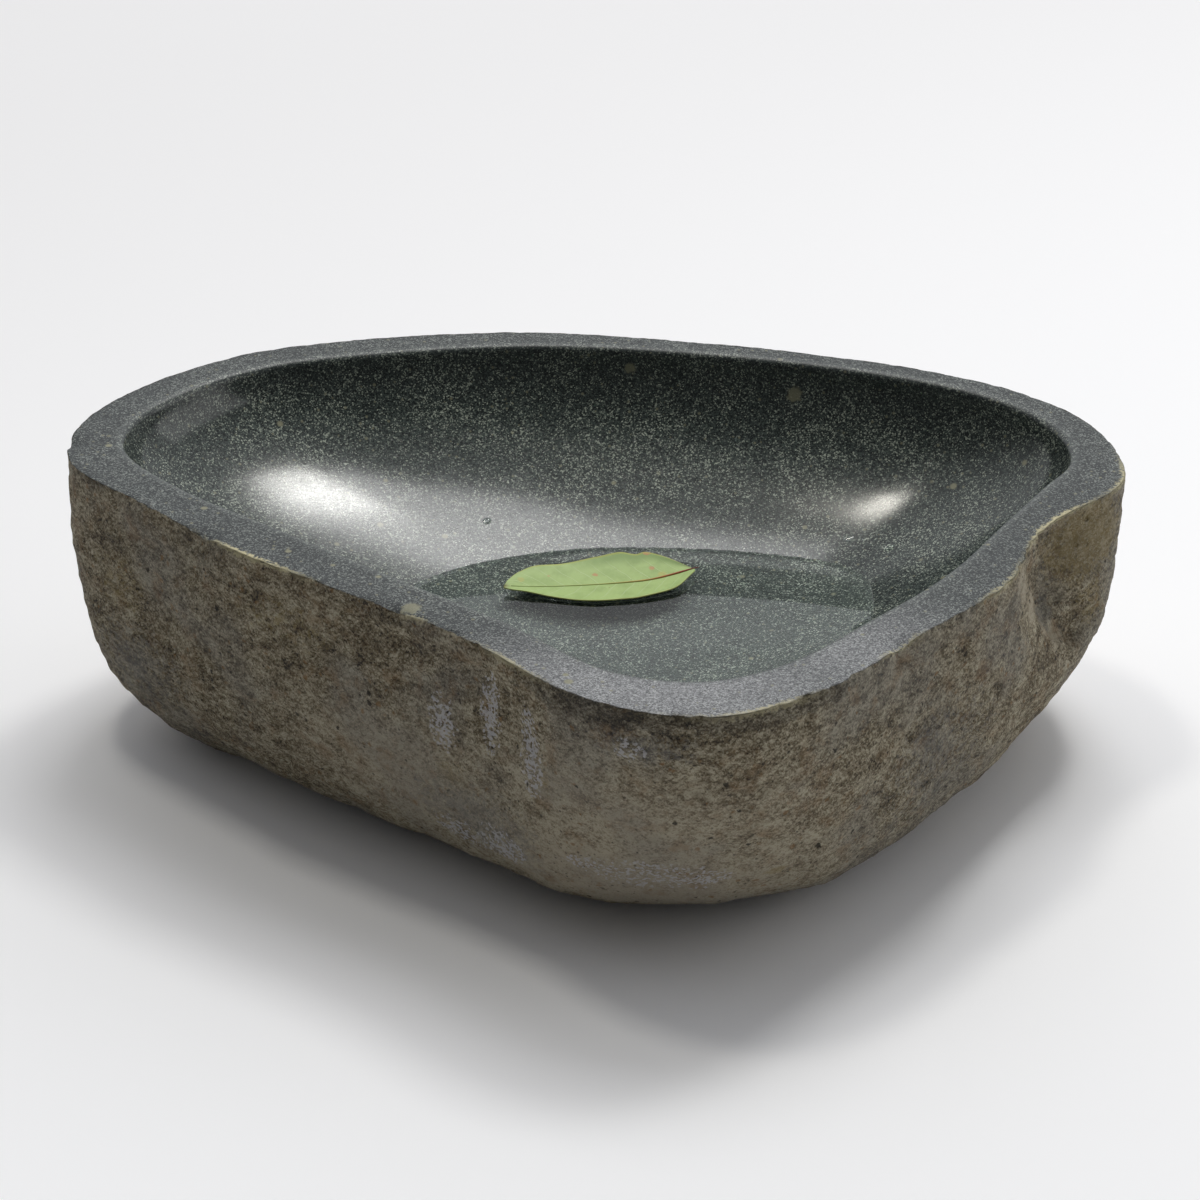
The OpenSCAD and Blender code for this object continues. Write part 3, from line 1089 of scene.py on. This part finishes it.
    def _shape(self, piece: bpy.types.Object, outer: int, inner: int) -> None:
        """Shapes the crust and the rim's edge, and fills the attributes that the finish reads.

        Args:
            piece: The rounded stone.
            outer: Number of the ring at the rim's outer edge.
            inner: Number of the ring at the rim's inner edge.
        """
        mesh = bmesh.new()
        mesh.from_mesh(piece.data)
        ring = mesh.verts.layers.float["ring"]
        around = [
            e for e in mesh.edges
            if abs(e.verts[0][ring] - e.verts[1][ring]) < self.ring_gap
            and self.inmost_ring < e.verts[0][ring] < outer + self.ring_gap
        ]
        bmesh.ops.subdivide_edges(mesh, edges=around, cuts=1, use_grid_fill=True)
        bmesh.ops.triangulate(mesh, faces=[f for f in mesh.faces if len(f.verts) > 4])
        mesh.normal_update()
        from_edge = mesh.verts.layers.float.new("from_edge")
        from_lip = mesh.verts.layers.float.new("from_lip")
        depth = mesh.verts.layers.float.new("depth")
        stains = {stain: mesh.verts.layers.float.new(stain.value) for stain in Stain}
        edge_points = nearness([v for v in mesh.verts if abs(v[ring] - outer) < 2 * self.ring_gap])
        lip_points = nearness([v for v in mesh.verts if abs(v[ring] - inner) < 2 * self.ring_gap])
        moved: dict[bmesh.types.BMVert, Vector] = {}
        for vert in mesh.verts:
            place = vert.co
            under = self.rim_height(place.x) - place.z
            edge_gap = edge_points.find(place)[2]
            outside = vert[ring] <= outer
            on_rim = outer < vert[ring] < inner + self.ring_gap
            vert[from_edge] = (-under if outside else edge_gap) / MM
            vert[from_lip] = (-lip_points.find(place)[2] if outside or on_rim else under) / MM
            vert[depth] = (self.water_level - place.z) / MM if vert[ring] > inner else DRY
            if on_rim or outside or edge_gap < self.stains_inward:
                self._stain(vert, stains)
            shift = self._shift(vert, outside, under, edge_gap)
            if shift.length:
                moved[vert] = place + shift
        for vert, place in moved.items():
            vert.co = [min(self.high[k], max(self.low[k], place[k])) for k in range(3)]
        mesh.to_mesh(piece.data)
        mesh.free()
        piece.data.polygons.foreach_set("use_smooth", [True] * len(piece.data.polygons))

    def build(self) -> bpy.types.Object:
        """Builds the stone's piece.

        Returns:
            The piece, riding on the stone's body.
        """
        piece, outer, inner = self._cage()
        rounded(piece, self.rounding)
        self._shape(piece, outer, inner)
        dress(piece, StoneFinish().material())
        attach(piece, "stone_bowl")
        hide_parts("stone_bowl")
        return piece


@dataclass
class Pool:
    """The water in the hollow, flat but for the lip that it draws up at the stone."""

    sink: float = 1.0 * MM
    overlap: float = 2.5 * MM
    lip_height: float = 0.5 * MM
    lip_reach: float = 1.6 * MM
    flatness: float = 0.05 * MM
    surface_rings: int = 44
    crowding: float = 0.8
    rounding: int = 1

    def _surface(self, mesh: bmesh.types.BMesh, middle: Vector) -> None:
        """Closes the open shore with rings, closer together towards it.

        Args:
            mesh: The water's wetted side.
            middle: The middle of the surface.
        """
        border = [e for e in mesh.edges if e.is_boundary]
        share = 1.0
        for k in range(self.surface_rings):
            aim = (1 - (k + 1) / (self.surface_rings + 1)) ** self.crowding
            verts, border = extend(mesh, border)
            bmesh.ops.scale(
                mesh, verts=verts, vec=(aim / share, aim / share, 1), space=Matrix.Translation(-middle)
            )
            share = aim
        bmesh.ops.edgeloop_fill(mesh, edges=border)
        bmesh.ops.poke(mesh, faces=[f for f in mesh.faces if len(f.verts) > 4])
        bmesh.ops.recalc_face_normals(mesh, faces=mesh.faces)

    def build(self) -> bpy.types.Object:
        """Builds the pool's piece.

        Returns:
            The piece, riding on the water's body.
        """
        mesh = merged_copy("water_pool")
        rings = number_rings(mesh, lambda vert: vert.co.z)
        ring = mesh.verts.layers.float["ring"]
        centre = next(iter(rings[-1]))
        middle = centre.co.copy()
        shore = list(rings[-2])
        waterline = nearness(shore)
        last = len(rings) - 2
        join_to_quads(mesh, [f for f in mesh.faces if all(0 < v[ring] <= last for v in f.verts)])
        for verts in rings[:-2]:
            for vert in verts:
                vert.co.z -= self.sink
        for vert in shore:
            vert.co += (vert.co - middle).normalized() * self.overlap
        bmesh.ops.delete(mesh, geom=[centre], context="VERTS")
        self._surface(mesh, middle)
        piece = make_object("clear_water", mesh)
        rounded(piece, self.rounding)
        for vert in piece.data.vertices:
            if abs(vert.co.z - middle.z) < self.flatness:
                from_shore = waterline.find(vert.co)[2]
                vert.co.z = middle.z + self.lip_height * math.exp(-from_shore / self.lip_reach)
        dress(piece, WaterFinish().material())
        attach(piece, "water")
        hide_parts("water_pool")
        return piece


@dataclass(frozen=True)
class Drop:
    """A drop of water left on the polished wall, in millimetres."""

    name: str
    place: Point
    width: float
    stretch: float
    turn: float
    flatness: float = 0.34
    unevenness: float = 0.16
    grain: float = 1.5

    def build(self, stone: bpy.types.Object, finish: bpy.types.Material) -> bpy.types.Object:
        """Builds the drop's piece where it lies on the stone.

        Args:
            stone: The stone's piece.
            finish: The water's material.

        Returns:
            The piece, riding on the stone's body.
        """
        _, spot, normal, _ = stone.closest_point_on_mesh(Vector(self.place) * MM)
        mesh = bmesh.new()
        bmesh.ops.create_icosphere(mesh, subdivisions=4, radius=self.width / 2 * MM)
        for vert in mesh.verts:
            ripple = 1 + self.unevenness * noise.noise(vert.co / (self.grain * MM) + Vector(self.place))
            vert.co = Vector((vert.co.x * self.stretch, vert.co.y, vert.co.z * self.flatness)) * ripple
        spin = normal.to_track_quat("Z", "Y").to_matrix().to_4x4() @ Matrix.Rotation(self.turn, 4, "Z")
        bmesh.ops.transform(mesh, matrix=Matrix.Translation(spot) @ spin, verts=mesh.verts)
        piece = make_object(self.name, mesh)
        dress(piece, finish)
        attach(piece, "stone_bowl")
        return piece


def tube(stations: list[tuple[Vector, float, float]], heading: float, sides: int) -> bmesh.types.BMesh:
    """A closed tube along stations, with its rings square to a heading.

    Args:
        stations: Centre, radius and value of the layer "along" of each ring.
        heading: Direction of the tube on the level, as an angle from +X.
        sides: Corners of each ring.

    Returns:
        The mesh of the tube.
    """
    mesh = bmesh.new()
    layer = mesh.verts.layers.float.new("along")
    ring = bmesh.ops.create_circle(mesh, segments=sides, radius=1.0, cap_ends=True)["verts"]
    upright = Matrix.Rotation(heading, 4, "Z") @ Matrix.Rotation(math.pi / 2, 4, "Y")
    bmesh.ops.transform(mesh, matrix=upright, verts=ring)
    border = list(mesh.edges)
    old_centre = Vector((0.0, 0.0, 0.0))
    old_radius = 1.0
    for k, (centre, radius, along) in enumerate(stations):
        if k:
            ring, border = extend(mesh, border)
        for vert in ring:
            vert.co = centre + (vert.co - old_centre) * (radius / old_radius)
            vert[layer] = along
        old_centre = centre
        old_radius = radius
    bmesh.ops.edgeloop_fill(mesh, edges=border)
    bmesh.ops.recalc_face_normals(mesh, faces=mesh.faces)
    return mesh


@dataclass
class Leaf:
    """The floating leaf: a thin blade with a wavy outline, and its raised midrib."""

    length: float = 81 * MM
    heading: float = math.radians(11)
    middle: Point = (1.5 * MM, 45.7 * MM, 60.3 * MM)
    thickness: float = 0.5 * MM
    bow: float = 2.4 * MM
    cup: float = 1.8 * MM
    lean: float = 2.4 * MM
    ripple: float = 0.35 * MM
    ripple_rate: tuple[float, float] = (9, 1.5)
    ripple_seed: float = 4.0
    half_width: float = 17 * MM
    steps: int = 120
    strips: int = 36
    back_edge: Outline = (
        (0.0, 0.4), (0.03, 4.5), (0.09, 9.5), (0.17, 13.6), (0.24, 14.6), (0.34, 14.9), (0.43, 16.3),
        (0.53, 17.8), (0.60, 18.8), (0.66, 18.9), (0.71, 16.9), (0.735, 16.4), (0.78, 17.3), (0.84, 14.4),
        (0.90, 9.6), (0.96, 4.2), (1.0, 0.6),
    )
    front_edge: Outline = (
        (0.0, 0.4), (0.03, 1.6), (0.08, 3.2), (0.16, 6.6), (0.30, 12.2), (0.42, 15.6), (0.52, 16.5),
        (0.65, 16.6), (0.75, 15.4), (0.85, 13.2), (0.90, 10.4), (0.95, 5.6), (1.0, 0.6),
    )
    rib_line: Outline = (
        (0.0, 1.0), (0.2, 0.0), (0.4, -0.6), (0.6, -1.6), (0.75, -2.2), (0.88, -0.8), (1.0, 1.2),
    )
    rib_steps: int = 48
    rib_first: float = 0.04
    rib_last: float = 1.025
    rib_sides: int = 10
    rib_tip: float = 0.18 * MM
    rib_growth: float = 0.34 * MM
    rib_proud: float = 0.35
    rib_end: tuple[float, float] = (0.4, 6)
    stalk_rise: float = 0.1
    red_marks: Marks = ((0.49, 0.40, 1.5), (0.79, 0.42, 1.7), (0.79, 0.98, 2.0))
    yellow_marks: Marks = ((0.83, 0.15, 2.2), (0.10, 0.5, 2.0))

    def point(self, along: float, across: float) -> Vector:
        """Point on the blade's underside.

        Args:
            along: From 0 at the tip to 1 at the stalk.
            across: From -1 on the front edge to 1 on the back edge.

        Returns:
            The point, in the frame.
        """
        rib = curve_through(self.rib_line, along) * MM
        edge = curve_through(self.back_edge if across > 0 else self.front_edge, along) * MM
        if across > 0:
            y = rib + (edge - rib) * across
        else:
            y = rib - (edge + rib) * -across
        width = edge / self.half_width
        uneven = Vector((along * self.ripple_rate[0], across * self.ripple_rate[1], self.ripple_seed))
        ripple = self.ripple * noise.noise(uneven) * abs(across)
        over = (self.cup * across * across + self.lean * across / 2) * width
        z = self.bow * (2 * along - 1) ** 2 + over + ripple
        flat = Vector(((along - 0.5) * self.length, y, 0.0))
        flat.rotate(Matrix.Rotation(self.heading, 3, "Z"))
        return Vector(self.middle) + flat + Vector((0.0, 0.0, max(0.0, z)))

    def _spots(self, marks: Marks) -> Spots:
        """Places of marks in the frame, in millimetres, each with its radius."""
        return tuple((tuple(self.point(along, across) / MM), radius) for along, across, radius in marks)

    def build_blade(self) -> bpy.types.Object:
        """Builds the blade's piece.

        Returns:
            The piece, riding on the leaf's body.
        """
        mesh = bmesh.new()
        bmesh.ops.create_grid(mesh, x_segments=self.steps, y_segments=self.strips, size=1.0)
        along_layer = mesh.verts.layers.float.new("along")
        across_layer = mesh.verts.layers.float.new("across")
        for vert in mesh.verts:
            along = (vert.co.x + 1) / 2
            across = vert.co.y
            vert[along_layer] = along
            vert[across_layer] = across
            vert.co = self.point(along, across)
        bmesh.ops.solidify(mesh, geom=mesh.faces, thickness=-self.thickness)
        bmesh.ops.recalc_face_normals(mesh, faces=mesh.faces)
        piece = make_object("leaf_skin", mesh)
        dress(piece, LeafFinish().material(self._spots(self.red_marks), self._spots(self.yellow_marks)))
        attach(piece, "leaf")
        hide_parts("leaf_blade")
        return piece

    def build_midrib(self) -> bpy.types.Object:
        """Builds the midrib's piece, a tapering rib with a short stalk.

        Returns:
            The piece, riding on the leaf's body.
        """
        ahead = Vector((math.cos(self.heading), math.sin(self.heading), self.stalk_rise))
        stations = []
        for k in range(self.rib_steps + 1):
            along = self.rib_first + (self.rib_last - self.rib_first) * k / self.rib_steps
            taper = min(1.0, self.rib_end[0] + self.rib_end[1] * (self.rib_last - along))
            radius = (self.rib_tip + self.rib_growth * along**1.5) * taper
            upwards = Vector((0.0, 0.0, self.thickness + radius * self.rib_proud))
            stalk = ahead * max(0.0, along - 1) * self.length
            centre = self.point(min(along, 1.0), 0.0) + upwards + stalk
            stations.append((centre, radius, along / self.rib_last))
        piece = make_object("leaf_rib", tube(stations, self.heading, self.rib_sides))
        dress(piece, MidribFinish().material())
        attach(piece, "leaf")
        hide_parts("leaf_midrib")
        return piece


@dataclass(frozen=True)
class Bead:
    """Water drawn up under one edge of the blade, a little above the pool so that the leaf can turn."""

    name: str
    side: int
    first: float = 0.14
    last: float = 0.9
    radius: float = 0.34 * MM
    above: float = 0.08 * MM
    thin_end: float = 0.25
    swelling: float = 8
    steps: int = 90
    corners: int = 12

    def build(self, leaf: Leaf, level: float, finish: bpy.types.Material) -> bpy.types.Object:
        """Builds the bead's piece.

        Args:
            leaf: The leaf that it clings to.
            level: Height of the pool's surface.
            finish: The water's material.

        Returns:
            The piece, riding on the leaf's body.
        """
        stations = []
        for k in range(self.steps + 1):
            share = k / self.steps
            along = self.first + (self.last - self.first) * share
            grown = min(1.0, self.swelling * share, self.swelling * (1 - share))
            radius = self.radius * (self.thin_end + (1 - self.thin_end) * grown)
            edge = leaf.point(along, self.side)
            stations.append((Vector((edge.x, edge.y, level + self.above + radius)), radius, along))
        piece = make_object(self.name, tube(stations, leaf.heading, self.corners))
        dress(piece, finish)
        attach(piece, "leaf")
        return piece


@dataclass(frozen=True)
class Lamp:
    """A square soft lamp that points at the bowl."""

    name: str
    direction: Point
    distance: float
    side: float
    glow: float
    colour: Point = (1.0, 1.0, 1.0)

    def build(self, aim: Vector) -> None:
        """Adds the lamp to the scene.

        Args:
            aim: What it points at.
        """
        light = bpy.data.lights.new(self.name, "AREA")
        light.shape = "SQUARE"
        light.size = self.side
        light.energy = self.glow * math.pi * self.side**2
        light.color = self.colour
        made = bpy.data.objects.new(self.name, light)
        bpy.context.scene.collection.objects.link(made)
        towards = Vector(self.direction).normalized()
        made.location = aim + towards * self.distance
        made.rotation_euler = towards.to_track_quat("Z", "Y").to_euler()


@dataclass
class Studio:
    """The photograph's camera, a pale floor and soft light from above and behind."""

    elevation: float = math.radians(28)
    distance: float = 1.3
    aim: Point = (1.6 * MM, 28.5 * MM, 62 * MM)
    sensor: float = 36.0
    lens: float = 94.8
    floor_half: float = 9.0
    lamps: tuple[Lamp, ...] = (
        Lamp("right_back_lamp", (0.29, 0.43, 0.86), 3.6, 0.6, 19.0, (1.0, 0.995, 0.95)),
        Lamp("left_lamp", (-0.22, 0.19, 0.96), 3.0, 0.38, 26.0, (1.0, 0.97, 0.88)),
        Lamp("overhead_panel", (0.12, 0.44, 0.89), 5.0, 1.9, 6.1),
        Lamp("side_window", (0.94, 0.05, 0.28), 2.2, 1.5, 1.25),
    )
    bright_side: Point = (0.02, 0.88, 0.42)
    dimmest: float = 0.1
    brightest: float = 0.97
    room_colour: Colour = (0.96, 0.975, 1.0, 1.0)

    def _camera(self) -> None:
        """Adds the camera."""
        data = bpy.data.cameras.new("camera")
        data.sensor_fit = "HORIZONTAL"
        data.sensor_width = self.sensor
        data.lens = self.lens
        made = bpy.data.objects.new("camera", data)
        bpy.context.scene.collection.objects.link(made)
        back = Vector((0.0, -math.cos(self.elevation), math.sin(self.elevation)))
        made.location = Vector(self.aim) + back * self.distance
        made.rotation_euler = back.to_track_quat("Z", "Y").to_euler()
        bpy.context.scene.camera = made

    def _floor(self) -> None:
        """Adds the floor."""
        mesh = bmesh.new()
        bmesh.ops.create_grid(mesh, x_segments=2, y_segments=2, size=self.floor_half)
        floor = make_object("pale_floor", mesh)
        dress(floor, FloorFinish().material())

    def _world(self) -> None:
        """Adds the room's light: bright behind and above, dimmer on the camera's side."""
        world = bpy.data.worlds.new("studio")
        bpy.context.scene.world = world
        tree = Tree(world)
        place = tree.node("ShaderNodeTexCoord", output="Generated")
        facing = tree.vector("DOT_PRODUCT", place, Vector(self.bright_side).normalized(), output="Value")
        glow = tree.node(
            "ShaderNodeMapRange",
            {"interpolation_type": "SMOOTHSTEP"},
            {"Value": facing, "To Min": self.dimmest, "To Max": self.brightest},
        )
        light = tree.node("ShaderNodeBackground", {}, {"Color": self.room_colour, "Strength": glow})
        tree.finish(light, "ShaderNodeOutputWorld")

    def build(self) -> None:
        """Adds camera, floor, lamps and world, and sets the plain view."""
        self._camera()
        self._floor()
        for lamp in self.lamps:
            lamp.build(Vector(self.aim))
        self._world()
        bpy.context.scene.view_settings.view_transform = "Standard"


DROPS = (
    Drop("drop_left", (-46.7, 89.6, 67.8), 3.4, 1.2, 0.3),
    Drop("drop_right", (107.3, 77.4, 65.3), 3.0, 1.9, 0.5),
    Drop("drop_dash", (113.5, 75.6, 65.8), 1.2, 1.8, 0.2),
    Drop("drop_ring", (123.5, 67.7, 66.0), 3.4, 1.3, 1.0),
    Drop("drop_high", (60.0, 124.0, 92.0), 1.8, 1.2, 0.8),
)
BEADS = (
    Bead("bead_front", -1),
    Bead("bead_back", 1),
)


def main() -> None:
    """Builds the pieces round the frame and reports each."""
    Studio().build()
    leaf = Leaf()
    bowl = RiverStone()
    stone = bowl.build()
    pool = Pool().build()
    water = pool.data.materials[0]
    traces = [drop.build(stone, water) for drop in DROPS]
    traces += [bead.build(leaf, bowl.water_level, water) for bead in BEADS]
    for piece in (stone, pool, leaf.build_blade(), leaf.build_midrib(), *traces):
        log.info("%s: %d faces", piece.name, len(piece.data.polygons))


if __name__ == "__main__":
    main()
